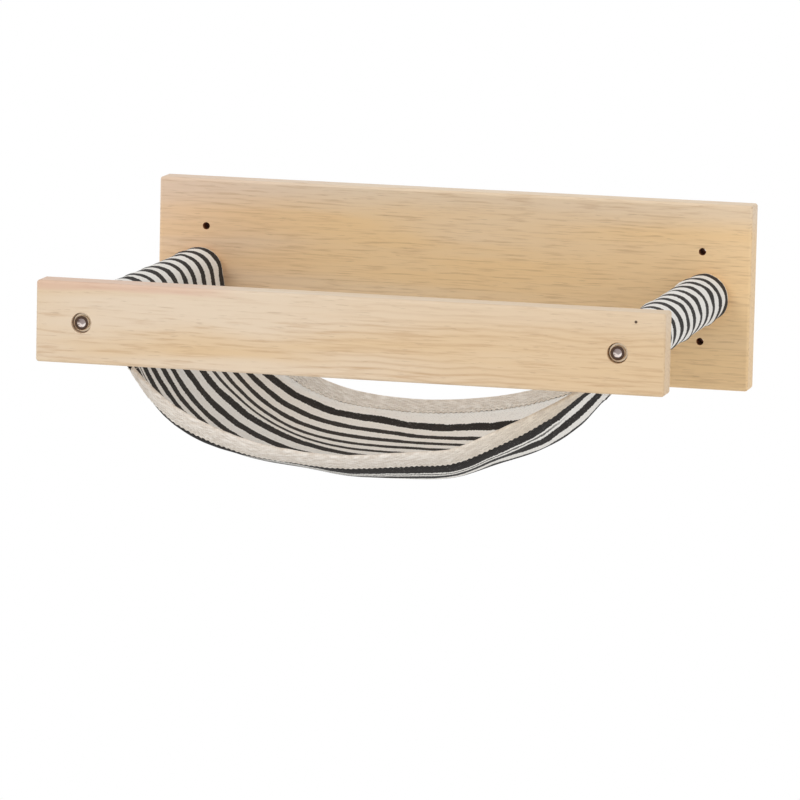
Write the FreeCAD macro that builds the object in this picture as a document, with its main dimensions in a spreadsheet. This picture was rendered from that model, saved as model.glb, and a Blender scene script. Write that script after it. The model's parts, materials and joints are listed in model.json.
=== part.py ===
import FreeCAD, Part
import math
import os

import Sketcher

# Wall-mounted pet hammock: a wall board and a front rail joined by two rods, with a canvas sling on the rods.
# Millimetres, +Z up, +X to the right. The wall is the plane y = 0 and the hammock stands out towards -Y.
# The origin is the middle of the board's back face, and the rods and the rail are level with it.

SIZES = {
    # wooden board and rail
    "frame_width": 420,
    "board_height": 128,
    "board_thick": 20,
    "rail_height": 54,
    "rail_thick": 20,
    "edge_radius": 2,
    # screw holes to the wall
    "wall_hole_diameter": 5,
    "wall_hole_inset": 34,
    "wall_hole_spacing": 62,
    # rods between board and rail
    "rod_diameter": 30,
    "rod_length": 270,
    "rod_inset": 31,
    "rod_chamfer": 1,
    # socket cap bolts with their washers and recesses
    "bolt_diameter": 6,
    "bolt_length": 30,
    "bolt_tip_chamfer": 0.8,
    "bolt_hole_clearance": 0.3,
    "head_diameter": 10,
    "head_height": 3,
    "head_chamfer": 0.6,
    "socket_width": 5,
    "socket_depth": 2,
    "washer_diameter": 12,
    "washer_thick": 1.6,
    "washer_clearance": 0.2,
    "recess_clearance": 0.75,
    "head_sink": 0.6,
    # threaded inserts in the rod ends
    "insert_wall": 1.15,
    "insert_ridge_height": 0.8,
    "insert_length": 20,
    "insert_clearance": 0.05,
    "bolt_tip_room": 4,
    # canvas sling
    "canvas_thick": 1.2,
    "sleeve_clearance": 0.5,
    "seam_gap": 15.8,
    "seam_angle": 50,
    "flap_reach": 8,
    "hem_sag": 82.5,
    "belly_sag": 102,
    "lean_drop": 5.4,
    "side_gap": 4,
    # tape folded over the hems
    "binding_width": 6.5,
    "binding_thick": 1,
    "binding_clearance": 0.3,
    # overrun of a cut past the face it leaves by
    "cut_overrun": 1,
}

INSERT_RIDGES = 5

# How full the sling hangs: the power of its curve from rod to rod at the hems and across the belly,
# what the belly loses of it towards the middle, where the weight pulls the sheet straight,
# and the power that turns the hems up at the right rod, with what is added to it at the left rod.
HEM_FULLNESS_SHARE = 2.4
BELLY_FULLNESS_SHARE = 4.2
MIDDLE_EASE_SHARE = 1.4
HEM_TURN_SHARE = 5.5
LEFT_TURN_SHARE = 22.0

# Step of the sling's slope, as a share of its half span.
SLOPE_STEP_SHARE = 0.0001

# Ends of the arcs along the sling, as shares of the free sheet on each side of its middle.
ARC_SHARES = (0.5, 0.8, 1.0)

# Sections across the sling, as shares of the way from the binding's inner edge to the middle.
SECTION_SHARES = (0.1, 0.25, 0.5, 1.0)

doc = FreeCAD.newDocument("pet_hammock")


def fill_sheet():
    sheet = doc.addObject("Spreadsheet::Sheet", "dim")
    for row, (alias, number) in enumerate(SIZES.items(), start=1):
        sheet.set("A%d" % row, alias)
        sheet.set("B%d" % row, str(number))
        sheet.setAlias("B%d" % row, alias)
    doc.recompute()
    return sheet


dim = fill_sheet()

ROD_X = "dim.frame_width / 2 - dim.rod_inset"
RAIL_BACK = "dim.board_thick + dim.rod_length"
RAIL_FRONT = RAIL_BACK + " + dim.rail_thick"
BOLT_HOLE = "dim.bolt_diameter + 2 * dim.bolt_hole_clearance"
RECESS = "dim.washer_diameter + 2 * dim.recess_clearance"
WASHER_SINK = "dim.head_sink + dim.head_height"
RECESS_DEPTH = WASHER_SINK + " + dim.washer_thick"
INSERT_BORE = "dim.bolt_diameter / 2 + dim.insert_clearance"
INSERT_CREST = INSERT_BORE + " + dim.insert_wall + dim.insert_ridge_height"


def size(alias):
    return float(dim.get(alias))


def value(formula):
    return float(dim.evalExpression(formula))


def new_sketch(body, name, plane, offset="0"):
    """Sketch on one of the body's own origin planes, moved along the plane's normal."""
    sketch = body.newObject("Sketcher::SketchObject", name)
    support = next(f for f in body.Origin.OriginFeatures if f.Role == plane)
    sketch.AttachmentSupport = (support, [""])
    sketch.MapMode = "FlatFace"
    sketch.setExpression("AttachmentOffset.Base.z", offset)
    doc.recompute()
    return sketch


def bind(sketch, kind, *where, to):
    """Adds a measured constraint and ties it to the sheet."""
    index = sketch.addConstraint(Sketcher.Constraint(kind, *where, value(to)))
    sketch.setExpression("Constraints[%d]" % index, to)


def add_rectangle(sketch, width, height):
    """Rectangle centred on the sketch's origin."""
    half_w = value(width) / 2
    half_h = value(height) / 2
    corners = [FreeCAD.Vector(sx * half_w, sy * half_h, 0) for sx, sy in ((-1, -1), (1, -1), (1, 1), (-1, 1))]
    for here, there in zip(corners, corners[1:] + corners[:1]):
        sketch.addGeometry(Part.LineSegment(here, there), False)
    for line in range(4):
        sketch.addConstraint(Sketcher.Constraint("Coincident", line, 2, (line + 1) % 4, 1))
    for line in (0, 2):
        sketch.addConstraint(Sketcher.Constraint("Horizontal", line))
        sketch.addConstraint(Sketcher.Constraint("Vertical", line + 1))
    sketch.addConstraint(Sketcher.Constraint("Symmetric", 0, 1, 2, 1, -1, 1))
    bind(sketch, "DistanceX", 0, 1, 0, 2, to=width)
    bind(sketch, "DistanceY", 1, 1, 1, 2, to=height)


def add_hole_pair(sketch, diameter, across):
    """Two circles on the sketch's level axis, the same distance left and right."""
    for side in (1, -1):
        centre = FreeCAD.Vector(side * value(across), 0, 0)
        sketch.addGeometry(Part.Circle(centre, FreeCAD.Vector(0, 0, 1), value(diameter) / 2), False)
    sketch.addConstraint(Sketcher.Constraint("PointOnObject", 0, 3, -1))
    sketch.addConstraint(Sketcher.Constraint("Symmetric", 0, 3, 1, 3, -1, 1))
    sketch.addConstraint(Sketcher.Constraint("Equal", 0, 1))
    bind(sketch, "DistanceX", -1, 1, 0, 3, to=across)
    bind(sketch, "Diameter", 0, to=diameter)


def add_hole_rectangle(sketch, diameter, across, up):
    """Four equal circles at the corners of a centred rectangle, given as its half width and half height."""
    for side, level in ((1, 1), (-1, -1), (-1, 1), (1, -1)):
        centre = FreeCAD.Vector(side * value(across), level * value(up), 0)
        sketch.addGeometry(Part.Circle(centre, FreeCAD.Vector(0, 0, 1), value(diameter) / 2), False)
    sketch.addConstraint(Sketcher.Constraint("Symmetric", 0, 3, 1, 3, -1, 1))
    sketch.addConstraint(Sketcher.Constraint("Symmetric", 0, 3, 2, 3, -2))
    sketch.addConstraint(Sketcher.Constraint("Symmetric", 0, 3, 3, 3, -1))
    for circle in (1, 2, 3):
        sketch.addConstraint(Sketcher.Constraint("Equal", 0, circle))
    bind(sketch, "DistanceX", -1, 1, 0, 3, to=across)
    bind(sketch, "DistanceY", -1, 1, 0, 3, to=up)
    bind(sketch, "Diameter", 0, to=diameter)


def cut(body, sketch, depth=None, towards_front=False):
    """Pocket of the sketch, through the piece or to a depth, that must take wood away."""
    before = body.Shape.Volume
    pocket = body.newObject("PartDesign::Pocket", sketch.Name + "_cut")
    pocket.Profile = sketch
    pocket.Reversed = towards_front
    if depth is None:
        pocket.Type = "ThroughAll"
    else:
        pocket.Type = "Length"
        pocket.setExpression("Length", depth)
    doc.recompute()
    if not body.Shape.Volume < before:
        raise ValueError(sketch.Name + " cuts nothing")


def wooden_bar(label, height, thick, back):
    """Bar with every edge rounded over; back is how far its back face stands off the wall."""
    body = doc.addObject("PartDesign::Body", label)
    sketch = new_sketch(body, label + "_face", "XZ_Plane", back)
    add_rectangle(sketch, "dim.frame_width", height)
    pad = body.newObject("PartDesign::Pad", label + "_stock")
    pad.Profile = sketch
    pad.setExpression("Length", thick)
    doc.recompute()
    rounding = body.newObject("PartDesign::Fillet", label + "_rounding")
    rounding.Base = (pad, ["Edge%d" % number for number in range(1, len(pad.Shape.Edges) + 1)])
    rounding.setExpression("Radius", "dim.edge_radius")
    doc.recompute()
    return body


def back_board():
    """Wall board: two bolt holes recessed from the wall side, and four screw holes."""
    body = wooden_bar("back_board", "dim.board_height", "dim.board_thick", "0")
    holes = new_sketch(body, "board_bolt_holes", "XZ_Plane")
    add_hole_pair(holes, BOLT_HOLE, ROD_X)
    cut(body, holes, towards_front=True)
    recesses = new_sketch(body, "board_recesses", "XZ_Plane")
    add_hole_pair(recesses, RECESS, ROD_X)
    cut(body, recesses, RECESS_DEPTH, towards_front=True)
    screws = new_sketch(body, "wall_holes", "XZ_Plane")
    across = "dim.frame_width / 2 - dim.wall_hole_inset"
    add_hole_rectangle(screws, "dim.wall_hole_diameter", across, "dim.wall_hole_spacing / 2")
    cut(body, screws, towards_front=True)


def front_rail():
    """Front rail: two bolt holes recessed from its front face."""
    body = wooden_bar("front_rail", "dim.rail_height", "dim.rail_thick", RAIL_BACK)
    holes = new_sketch(body, "rail_bolt_holes", "XZ_Plane", RAIL_FRONT)
    add_hole_pair(holes, BOLT_HOLE, ROD_X)
    cut(body, holes)
    recesses = new_sketch(body, "rail_recesses", "XZ_Plane", RAIL_FRONT)
    add_hole_pair(recesses, RECESS, ROD_X)
    cut(body, recesses, RECESS_DEPTH)


def pin_point(sketch, kind, line, to, axis):
    """Ties one coordinate of a line's start point, or puts it on the axis where that coordinate is zero."""
    if to == "0":
        sketch.addConstraint(Sketcher.Constraint("PointOnObject", line, 1, axis))
    else:
        bind(sketch, kind, -1, 1, line, 1, to=to)


def turned(label, outline):
    """Piece turned about Y. The outline is pairs of radius and distance along the axis, never negative."""
    body = doc.addObject("PartDesign::Body", label)
    sketch = new_sketch(body, label + "_outline", "XY_Plane")
    spots = [FreeCAD.Vector(value(radius), value(along), 0) for radius, along in outline]
    for here, there in zip(spots, spots[1:] + spots[:1]):
        sketch.addGeometry(Part.LineSegment(here, there), False)
    for line in range(len(outline)):
        sketch.addConstraint(Sketcher.Constraint("Coincident", line, 2, (line + 1) % len(outline), 1))
    for line, (radius, along) in enumerate(outline):
        pin_point(sketch, "DistanceX", line, radius, -2)
        pin_point(sketch, "DistanceY", line, along, -1)
    turning = body.newObject("PartDesign::Revolution", label + "_turning")
    turning.Profile = sketch
    turning.ReferenceAxis = (sketch, ["V_Axis"])
    doc.recompute()
    return body


def put(body, x, y, facing_front):
    """Moves a turned piece to its place; its axis runs to the wall, or to the front when turned round."""
    if facing_front:
        body.Placement = FreeCAD.Placement(FreeCAD.Vector(), FreeCAD.Rotation(FreeCAD.Vector(0, 0, 1), 180))
    body.setExpression("Placement.Base.x", x)
    body.setExpression("Placement.Base.y", y)


def rod_hole_depth(bar_thick):
    """Depth of the hole in a rod's end, for the insert and for the tip of the bolt through a bar."""
    reach = WASHER_SINK + " + dim.bolt_length - " + bar_thick
    return "max(dim.insert_length; " + reach + ") + dim.bolt_tip_room"


def rod(label):
    """Rod from the rail to the board, with chamfered ends and a blind hole in each for its insert."""
    radius = "dim.rod_diameter / 2"
    hole = INSERT_CREST + " + dim.insert_clearance"
    near = rod_hole_depth("dim.rail_thick")
    far = "dim.rod_length"
    deep = far + " - (" + rod_hole_depth("dim.board_thick") + ")"
    shoulder = radius + " - dim.rod_chamfer"
    return turned(label, [
        (hole, "0"),
        (shoulder, "0"),
        (radius, "dim.rod_chamfer"),
        (radius, far + " - dim.rod_chamfer"),
        (shoulder, far),
        (hole, far),
        (hole, deep),
        ("0", deep),
        ("0", near),
        (hole, near),
    ])


def bolt(label):
    """Cap bolt from the top of its head down to its tip, with a hexagon socket."""
    head = "dim.head_diameter / 2"
    shank = "dim.bolt_diameter / 2"
    tip = "dim.head_height + dim.bolt_length"
    body = turned(label, [
        ("0", "0"),
        (head + " - dim.head_chamfer", "0"),
        (head, "dim.head_chamfer"),
        (head, "dim.head_height"),
        (shank, "dim.head_height"),
        (shank, tip + " - dim.bolt_tip_chamfer"),
        (shank + " - dim.bolt_tip_chamfer", tip),
        ("0", tip),
    ])
    before = body.Shape.Volume
    socket = body.newObject("PartDesign::SubtractivePrism", label + "_socket")
    support = next(f for f in body.Origin.OriginFeatures if f.Role == "XZ_Plane")
    socket.AttachmentSupport = (support, [""])
    socket.MapMode = "FlatFace"
    # the plane's normal points out of the head, so the socket is turned round to go in, one corner down
    turn = FreeCAD.Rotation(FreeCAD.Vector(1, 0, 0), 180)
    corner_down = FreeCAD.Rotation(FreeCAD.Vector(0, 0, 1), 30)
    socket.AttachmentOffset = FreeCAD.Placement(FreeCAD.Vector(), turn.multiply(corner_down))
    socket.Polygon = 6
    socket.setExpression("Circumradius", "dim.socket_width / 2 / cos(30 deg)")
    socket.setExpression("Height", "dim.socket_depth")
    doc.recompute()
    if not body.Shape.Volume < before:
        raise ValueError(label + " has no socket")
    return body


def washer(label):
    """Flat washer."""
    hole = "dim.bolt_diameter / 2 + dim.washer_clearance"
    rim = "dim.washer_diameter / 2"
    return turned(label, [(hole, "0"), (rim, "0"), (rim, "dim.washer_thick"), (hole, "dim.washer_thick")])


def insert(label):
    """Threaded insert, its coarse outer thread drawn as a row of ridges."""
    root = INSERT_BORE + " + dim.insert_wall"
    outline = [(INSERT_BORE, "0"), (root, "0")]
    for ridge in range(INSERT_RIDGES):
        outline.append((INSERT_CREST, "dim.insert_length * %g" % ((ridge + 0.5) / INSERT_RIDGES)))
        outline.append((root, "dim.insert_length * %g" % ((ridge + 1) / INSERT_RIDGES)))
    outline.append((INSERT_BORE, "dim.insert_length"))
    return turned(label, outline)


def rods_and_fasteners():
    """Each rod with a bolt, a washer and an insert at its front and rear end."""
    for side, x in (("left", "-(" + ROD_X + ")"), ("right", ROD_X)):
        put(rod(side + "_rod"), x, "-(" + RAIL_BACK + ")", False)
        put(bolt("front_" + side + "_bolt"), x, "dim.head_sink - (" + RAIL_FRONT + ")", False)
        put(washer("front_" + side + "_washer"), x, WASHER_SINK + " - (" + RAIL_FRONT + ")", False)
        put(insert("front_" + side + "_insert"), x, "-(" + RAIL_BACK + ")", False)
        put(bolt("rear_" + side + "_bolt"), x, "-dim.head_sink", True)
        put(washer("rear_" + side + "_washer"), x, "-(" + WASHER_SINK + ")", True)
        put(insert("rear_" + side + "_insert"), x, "-dim.board_thick", True)
    doc.recompute()


class Drape:
    """The hanging sheet: where its under face lies, and its sections across the rods."""

    def __init__(self):
        self.thick = size("canvas_thick")
        self.rod_x = size("frame_width") / 2 - size("rod_inset")
        self.inner = size("rod_diameter") / 2 + size("sleeve_clearance")
        self.outer = self.inner + self.thick
        # the sleeve is a drop shape: a round on the rod and two straight layers that meet at the seam
        apex = self.outer + size("seam_gap")
        self.taper = math.asin(self.outer / apex)
        angle = math.radians(size("seam_angle"))
        self.seam_x = math.cos(angle)
        self.seam_z = math.sin(angle)
        reach = apex - self.thick / math.tan(self.taper)
        self.half_span = self.rod_x - reach * self.seam_x
        self.seam_drop = reach * self.seam_z
        self.free_span = self.half_span - size("flap_reach")
        fold = size("binding_thick") + size("binding_clearance")
        self.half_width = size("rod_length") / 2 - size("side_gap") - fold
        self.middle = -(size("board_thick") + size("rod_length") / 2)
        arcs = [share * self.free_span for share in ARC_SHARES]
        self.stops = [-x for x in reversed(arcs)] + [0.0] + arcs

    def height(self, x, inset):
        """Height of the under face, inset from the nearest hem."""
        share = x / self.half_span
        inward = inset / self.half_width
        hem = (1 - inward) ** (HEM_TURN_SHARE + LEFT_TURN_SHARE * ((1 - share) / 2) ** 3)
        belly = BELLY_FULLNESS_SHARE - MIDDLE_EASE_SHARE * inward ** 2
        sag = size("hem_sag") * hem + size("belly_sag") * (1 - hem)
        power = HEM_FULLNESS_SHARE * hem + belly * (1 - hem)
        # the lean is an odd cubic that peaks at one, so one end hangs fuller than the other
        lean = size("lean_drop") * hem * 1.5 * math.sqrt(3)
        return -sag + (sag - self.seam_drop) * abs(share) ** power + lean * (share - share ** 3)

    def slope(self, x, inset):
        """Slope of the under face along the sheet."""
        step = self.half_span * SLOPE_STEP_SHARE
        return (self.height(x + step, inset) - self.height(x - step, inset)) / (2 * step)

    def point(self, x, inset, y, lift):
        """Point lifted square to the section's curve from the under face."""
        slope = self.slope(x, inset)
        length = math.hypot(1, slope)
        return FreeCAD.Vector(x - lift * slope / length, y, self.height(x, inset) + lift / length)

    def run(self, stops, inset, y, lift):
        """Arcs through the stops along the sheet."""
        edges = []
        for here, there in zip(stops, stops[1:]):
            ends = [self.point(x, inset, y, lift) for x in (here, (here + there) / 2, there)]
            edges.append(Part.Arc(*ends).toShape())
        return edges

    def seam_point(self, side, y, lift):
        """Point beside the seam, lifted square to the sleeve's middle line."""
        x = self.half_span - lift * self.seam_z
        return FreeCAD.Vector(side * x, y, lift * self.seam_x - self.seam_drop)

    def sleeve_point(self, side, y, radius, along, over):
        """Point at a radius from the rod's axis; along points to the seam and over is square to it."""
        x = self.rod_x + radius * (-along * self.seam_x - over * self.seam_z)
        return FreeCAD.Vector(side * x, y, radius * (-along * self.seam_z + over * self.seam_x))

    def sleeve_round(self, side, y, radius):
        """Two arcs round the rod, from the lower tangent point over the far side to the upper one."""
        turn = math.pi / 2 + self.taper
        angles = [math.pi - turn + turn * step / 2 for step in range(5)]
        spots = [self.sleeve_point(side, y, radius, math.cos(a), -math.sin(a)) for a in angles]
        return [Part.Arc(*spots[0:3]).toShape(), Part.Arc(*spots[2:5]).toShape()]

    def flap(self, side, inset, y, lift):
        """Arc of the doubled sheet, from its free end out to the seam."""
        start = self.point(side * self.free_span, inset, y, lift)
        middle = self.point(side * (self.free_span + self.half_span) / 2, inset, y, lift)
        return Part.Arc(start, middle, self.seam_point(side, y, lift)).toShape()

    def section(self, inset, y):
        """Closed outline of the sheet with its two sleeves, without the rods' room."""
        under = self.run(self.stops, inset, y, 0.0)
        over = self.run(self.stops, inset, y, self.thick)
        edges = list(under)
        for side, first in ((1, under[-1].lastVertex()), (-1, under[0].firstVertex())):
            below = self.flap(side, inset, y, -self.thick)
            above = self.flap(side, inset, y, self.thick)
            rounds = self.sleeve_round(side, y, self.outer)
            edges.append(Part.makeLine(first.Point, below.firstVertex().Point))
            edges.append(below)
            edges.append(Part.makeLine(below.lastVertex().Point, rounds[0].firstVertex().Point))
            edges.extend(rounds)
            edges.append(Part.makeLine(rounds[1].lastVertex().Point, above.lastVertex().Point))
            edges.append(above)
        edges.extend(over)
        return Part.Wire(Part.__sortEdges__(edges))

    def rod_room(self, side):
        """Drop-shaped hollow of a sleeve, from end to end."""
        start = self.middle - self.half_width - size("cut_overrun")
        rounds = self.sleeve_round(side, start, self.inner)
        apex = self.sleeve_point(side, start, self.inner / math.sin(self.taper), 1, 0)
        closing = [
            Part.makeLine(rounds[1].lastVertex().Point, apex),
            Part.makeLine(apex, rounds[0].firstVertex().Point),
        ]
        face = Part.Face(Part.Wire(rounds + closing))
        return face.extrude(FreeCAD.Vector(0, 2 * (self.half_width + size("cut_overrun")), 0))

    def insets(self):
        """Distances of the sections from a hem, to the middle of the sheet."""
        tape = size("binding_width")
        rest = self.half_width - tape
        return [0.0, tape / 2, tape] + [tape + share * rest for share in SECTION_SHARES]

    def canvas(self):
        """The whole sheet, lofted from hem to hem, with its sleeves opened."""
        insets = self.insets()
        front = [(inset, self.middle - self.half_width + inset) for inset in insets]
        rear = [(inset, self.middle + self.half_width - inset) for inset in reversed(insets[:-1])]
        wires = [self.section(inset, y) for inset, y in front + rear]
        solid = Part.makeLoft(wires, True, True)
        return solid.cut([self.rod_room(-1), self.rod_room(1)])

    def tape_wrap(self, side, grow, ahead, behind):
        """Solid round one hem, grown from the sheet's faces, from ahead of the hem to behind it."""
        ends = self.free_span - size("binding_clearance")
        stops = [-ends] + self.stops[1:-1] + [ends]
        hem = self.middle + side * self.half_width
        tape = size("binding_width")
        places = [(0.0, -ahead), (0.0, 0.0), (tape / 2, tape / 2), (tape, tape)]
        if behind:
            places.append((tape + behind, tape + behind))
        wires = []
        for inset, away in places:
            y = hem - side * away
            under = self.run(stops, inset, y, -grow)
            over = self.run(stops, inset, y, self.thick + grow)
            first = Part.makeLine(under[0].firstVertex().Point, over[0].firstVertex().Point)
            last = Part.makeLine(under[-1].lastVertex().Point, over[-1].lastVertex().Point)
            wires.append(Part.Wire(Part.__sortEdges__(under + [last] + over + [first])))
        return Part.makeLoft(wires, True, True)

    def binding(self, side):
        """Tape folded over one hem."""
        gap = size("binding_clearance")
        wrap = gap + size("binding_thick")
        outer = self.tape_wrap(side, wrap, wrap, 0)
        return outer.cut(self.tape_wrap(side, gap, gap, size("cut_overrun")))


def soft_piece(label, shape):
    piece = doc.addObject("Part::Feature", label)
    piece.Shape = shape
    piece.Placement = FreeCAD.Placement()


def sling():
    drape = Drape()
    soft_piece("sling_canvas", drape.canvas())
    soft_piece("front_binding", drape.binding(-1))
    soft_piece("rear_binding", drape.binding(1))


def export_pieces():
    """Checks every object, then writes each sub-part to its own file."""
    doc.recompute()
    for item in doc.Objects:
        if "Invalid" in item.State or "Error" in item.State:
            raise ValueError("%s failed: %s" % (item.Name, item.State))
    pieces = [item for item in doc.Objects if item.TypeId in ("PartDesign::Body", "Part::Feature")]
    for piece in pieces:
        if piece.Shape.isNull() or not piece.Shape.isValid() or len(piece.Shape.Solids) != 1:
            raise ValueError(piece.Label + " is not one sound solid")
    os.makedirs("parts", exist_ok=True)
    for piece in pieces:
        piece.Shape.exportStep(os.path.join("parts", piece.Label + ".step"))
        print("%-20s %10.1f mm3" % (piece.Label, piece.Shape.Volume))


back_board()
front_rail()
rods_and_fasteners()
sling()
export_pieces()
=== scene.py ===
import json
import math
from collections import namedtuple
from functools import partial

import bmesh
import bpy
import numpy as np
from mathutils import Matrix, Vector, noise


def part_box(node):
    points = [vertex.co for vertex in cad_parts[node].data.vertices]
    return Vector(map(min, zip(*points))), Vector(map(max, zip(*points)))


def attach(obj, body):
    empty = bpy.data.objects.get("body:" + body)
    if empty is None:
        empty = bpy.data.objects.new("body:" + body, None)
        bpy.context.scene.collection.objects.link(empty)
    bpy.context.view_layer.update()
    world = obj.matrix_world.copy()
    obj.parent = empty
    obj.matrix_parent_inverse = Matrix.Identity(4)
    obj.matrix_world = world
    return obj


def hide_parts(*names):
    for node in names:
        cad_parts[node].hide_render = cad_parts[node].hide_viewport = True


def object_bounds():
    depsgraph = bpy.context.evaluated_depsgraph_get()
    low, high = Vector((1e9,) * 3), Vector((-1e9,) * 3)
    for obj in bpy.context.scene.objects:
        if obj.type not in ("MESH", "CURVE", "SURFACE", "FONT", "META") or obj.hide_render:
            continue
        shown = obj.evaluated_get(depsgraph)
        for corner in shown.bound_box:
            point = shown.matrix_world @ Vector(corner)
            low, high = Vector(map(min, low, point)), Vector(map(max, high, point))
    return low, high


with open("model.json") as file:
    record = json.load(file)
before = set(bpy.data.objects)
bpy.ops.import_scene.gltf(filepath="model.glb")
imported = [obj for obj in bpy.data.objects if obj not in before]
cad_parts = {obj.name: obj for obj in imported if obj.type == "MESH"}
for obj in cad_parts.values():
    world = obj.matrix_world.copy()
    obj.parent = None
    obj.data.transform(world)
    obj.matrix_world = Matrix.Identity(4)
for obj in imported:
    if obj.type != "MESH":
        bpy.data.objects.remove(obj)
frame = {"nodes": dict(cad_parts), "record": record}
CAD_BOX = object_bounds()

bl_info = {
    "name": "Wall Hammock Dressing",
    "version": (1, 0, 0),
    "blender": (4, 5, 0),
    "location": "View3D > Sidebar > Hammock",
    "description": "Dresses the packed wall hammock: wood, bolts, striped sling, hem tapes and stitching",
    "category": "Object",
}

# Metres, in the packed model's frame: the wall is y = 0, +Z is up and the hammock stands out towards -Y.

SLING = "sling"
CLOTH_UV = "cloth"
SIDES = ("left", "right")
ENDS = ("front", "rear")

# How full the sling hangs, as in the solid, and how its hems turn up at the rods.
HEM_FULLNESS = 2.4
BELLY_FULLNESS = 4.2
MIDDLE_EASE = 1.4
HEM_TURN = 5.5
LEFT_TURN = 22.0

# Mesh rows and columns of the cloth, and steps for slopes and for measuring curves.
ROWS = 132
TROUGH_COLUMNS = 168
SEAM_COLUMNS = 5
STRAIGHT_COLUMNS = 6
ROUND_COLUMNS = 30
SLOPE_STEP = 0.00005
FINE_STEPS = 4001

# Reach and spacing of puckers, corner folds, slack and wrinkles.
SEAM_FADE = 0.011
SEAM_WAVE = 0.006
HEM_FADE = 0.016
HEM_WAVE = 0.010
FOLD_START = 0.03
FOLD_FADE = 0.05
SLACK_WAVES = (0.055, 0.017)
WRINKLE_WAVES = (0.013, 0.021)
CREASE_WAVES = (0.006, 0.008)

# Where the weight shapes the cloth along the hem: middle and spread, in shares of the half span.
LEFT_SPAN = (-0.5, 0.36)
RIGHT_SPAN = (0.56, 0.16)
DROP_SPANS = ((0.42, 0.14), (-0.76, 0.15))
TILT_SPAN = (0.9, 0.12)
PUFF_SPAN = (0.66, 0.98)
TIGHT_SPAN = (0.82, 0.16)

# And how far from the hem: the reach of a hump, or where it begins or ends and where it is full.
LEFT_REACH = 0.052
LEFT_FULL = 0.018
RIGHT_NEAR = (0.004, 0.03)
RIGHT_FAR = (0.17, 0.09)
DROP_REACH = 0.028
TILT_NEAR = (0, 0.014)
TILT_FAR = (0.045, 0.02)
PUFF_HUMP = (0.042, 0.022)
TIGHT_NEAR = (0.06, 0.11)
TIGHT_INSET = (0, 0.06)

# The stripes: how many lie closer, how they creep, wander, blur and change, and where the thin line of
# painted crease shade fades.
CLOSE_STRIPES = 4
SEAM_CREEP = 0.0024
STRIPE_RAGGED = 0.0016
STRIPE_DRIFT = 0.0042
STRIPE_BLUR = 0.0003
STRIPE_CHANGE = 0.003
CREASE_SHADE_FADE = (0.13, 0.155)

# The tape: how far its fold stands out, how its scallops vary, and where it grows yellower.
FOLD_PRESS = 0.85
SCALLOP_DRIFT = 0.008
TAPE_AGED = (0.2, 0.31)

# Mesh steps of the tape: to a scallop, over a leg, round the fold, and for measuring a leg.
SCALLOP_COLUMNS = 6
LEG_POINTS = 9
FOLD_POINTS = 7
LEG_STEPS = 49

# Inputs of the stitches' node tree, and how far stitches lean at random.
STITCH_INPUTS = ("Stitch Length", "Stitch Spacing", "Thread Thickness")
STITCH_LEAN = 0.07

# The wood: where its grain changes, how the pink streak runs, and how wide its recesses are shaded.
GRAIN_CHANGE = (-0.15, 0.06)
PINK_SWAY = 0.006
PINK_BLUR = 0.0035
PINK_END = (-0.12, -0.06)
RECESS_ROOM = 1.14

# Heights in a bolt's socket between which the painted reflection on the lower walls turns to painted shade.
SOCKET_SHADE = (-0.0018, -0.0009)

# The stage and the units of the record.
WHITE = (1, 1, 1, 1)
FLOOR_GREY = (0.93, 0.93, 0.93, 1)
FLOOR_CORNERS = 96
MM_PER_M = 1000


def number(note, default, **more):
    return partial(bpy.props.FloatProperty, description=note, default=default, **more)


def length(note, default):
    return number(note, default, min=0, precision=5, unit="LENGTH")


def angle(note, degrees):
    return number(note, math.radians(degrees), subtype="ANGLE")


def vector(note, default, subtype, **more):
    return partial(bpy.props.FloatVectorProperty, description=note, default=default, subtype=subtype, **more)


def tint(note, *default):
    return vector(note, default, "COLOR", min=0, max=1)


def named(group):
    """Makes a group's properties, each named with the words of its key."""
    for words, make in group.__annotations__.items():
        group.__annotations__[words] = make(name=words.replace("_", " ").capitalize())
    return group


@named
class HammockCloth(bpy.types.PropertyGroup):
    """Canvas of the sling."""

    solid_thickness: length("Thickness of the canvas solid", 0.0012)
    thickness: length("Thickness of the shown cloth", 0.0011)
    seam_gap: length("From a sleeve's round to where its layers would meet", 0.0158)
    seam_angle: angle("Slope of the sleeve's middle line", 50)
    flap_reach: length("Doubled cloth inside a sleeve's seam", 0.008)
    hem_sag: length("Depth of the hem below the rods", 0.0825)
    lean_drop: length("How much fuller the hem hangs on the left", 0.0054)
    left_lift: length("Lift of the cloth left of the middle", 0.009)
    right_lift: length("Lift of the cloth right of the middle", 0.005)
    hem_tilt: length("Lean of the front hem at the right", 0.003)
    hem_drop: length("Drop of the front hem on both sides", 0.0055)
    flank_puff: length("Swelling of the right flank behind the hem", 0.0065)
    flank_tight: length("Tightening of the right flank further back", 0.0058)
    stripe_period: length("From one dark stripe to the next", 0.0217)
    dark_width: length("Width of a dark stripe", 0.0098)
    first_dark: length("From the front hem to the first dark stripe's middle", 0.0153)
    first_width: length("Width of the first dark stripe", 0.0104)
    front_period: length("From one closer stripe to the next", 0.0164)
    front_width: length("Width of a closer stripe", 0.0086)
    # painted shade of a crease: a thin dark line near the front hem
    crease_shade_place: length("From the front hem to the thin dark line", 0.0236)
    crease_shade_width: length("Width of the thin dark line", 0.0017)
    thread_pitch: length("Distance between the threads", 0.0011)
    sleeve_wrinkle: length("Height of the wrinkles round the rods", 0.0016)
    seam_pucker: length("Height of the puckers beside the seams", 0.0006)
    hem_pucker: length("Height of the puckers beside the tape", 0.0004)
    corner_fold: length("Height of the folds from the corners", 0.0009)
    pale: tint("Colour of the pale stripes", 0.89, 0.865, 0.82)
    gap: tint("Colour between the pale threads", 0.45, 0.41, 0.36)
    dark: tint("Colour of the dark stripes", 0.012, 0.009, 0.0075)


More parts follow.
